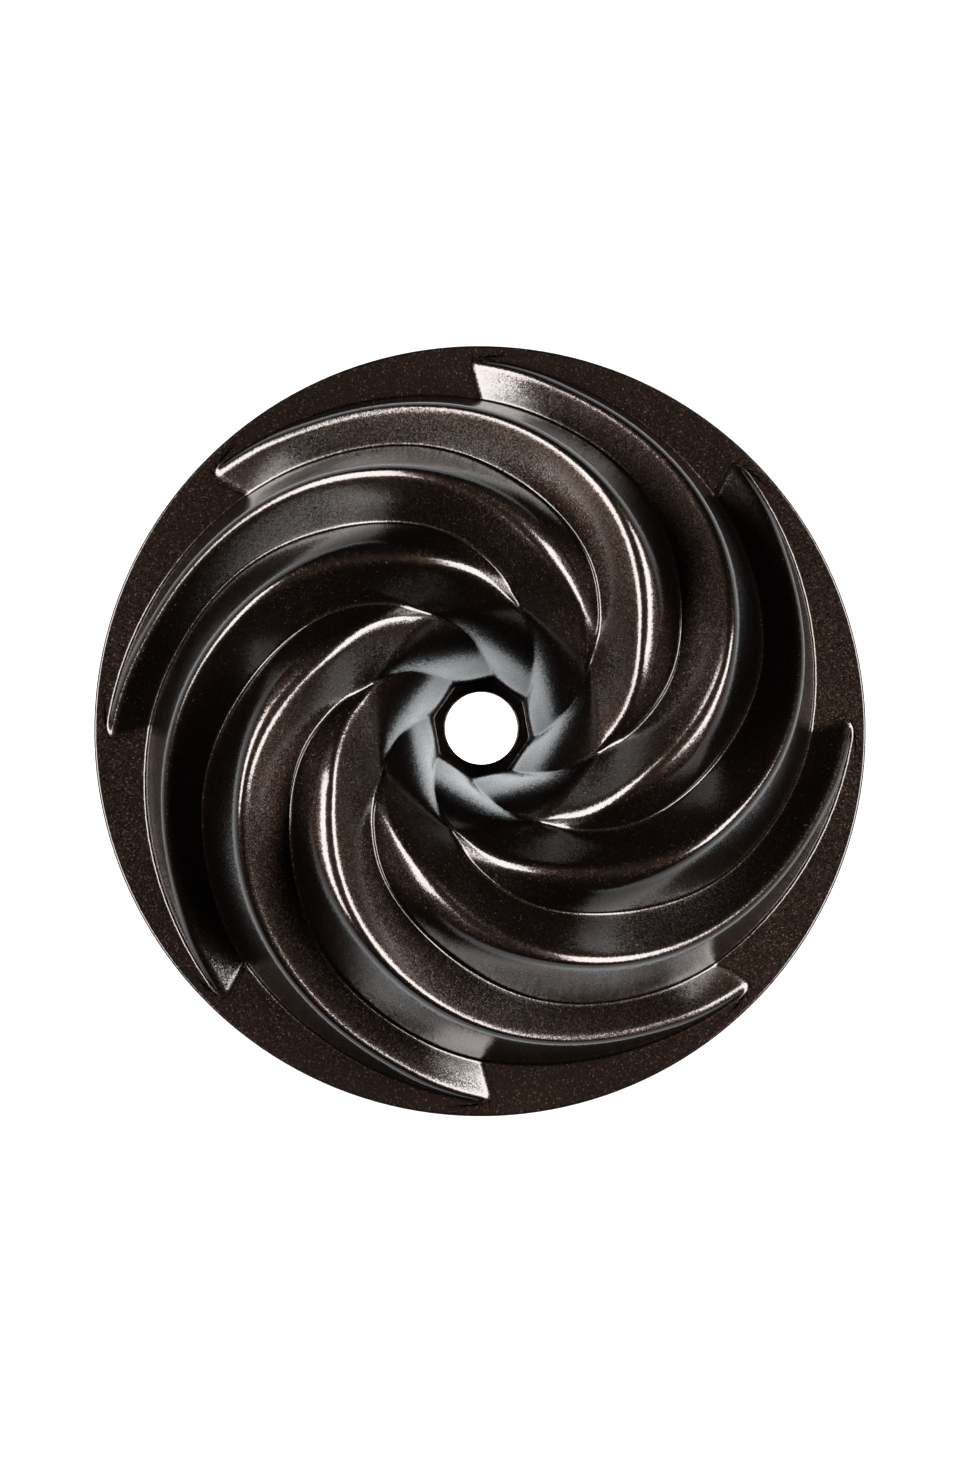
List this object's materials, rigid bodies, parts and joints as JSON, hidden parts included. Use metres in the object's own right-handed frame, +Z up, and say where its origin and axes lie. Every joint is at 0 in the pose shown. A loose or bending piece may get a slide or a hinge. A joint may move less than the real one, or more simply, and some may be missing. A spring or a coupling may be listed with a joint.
{
  "type": "bundt pan",
  "caption": "Ring cake mould: cast pan with flutes swirling from a flat rim over the crown and down a central tube, standing crown up.",
  "frame": {"origin": "centre of the circle that the rim rests on, on the resting plane", "axes": "+Z up from the resting plane to the crown, along the axis of the ring and tube; X and Y lie in the resting plane"},
  "size_m": [0.268, 0.268, 0.0834],
  "materials": {
    "exterior_bronze": "dark bronze coating with a fine metallic sparkle, satin",
    "cast_aluminium": "cast, fine matt grain, rim underside machined",
    "interior_nonstick": "dark grey non-stick coating, satin"
  },
  "bodies": {
    "root": {"cast_body": "cast_aluminium", "exterior_coating": "exterior_bronze", "interior_coating": "interior_nonstick"}
  },
  "joints": []
}
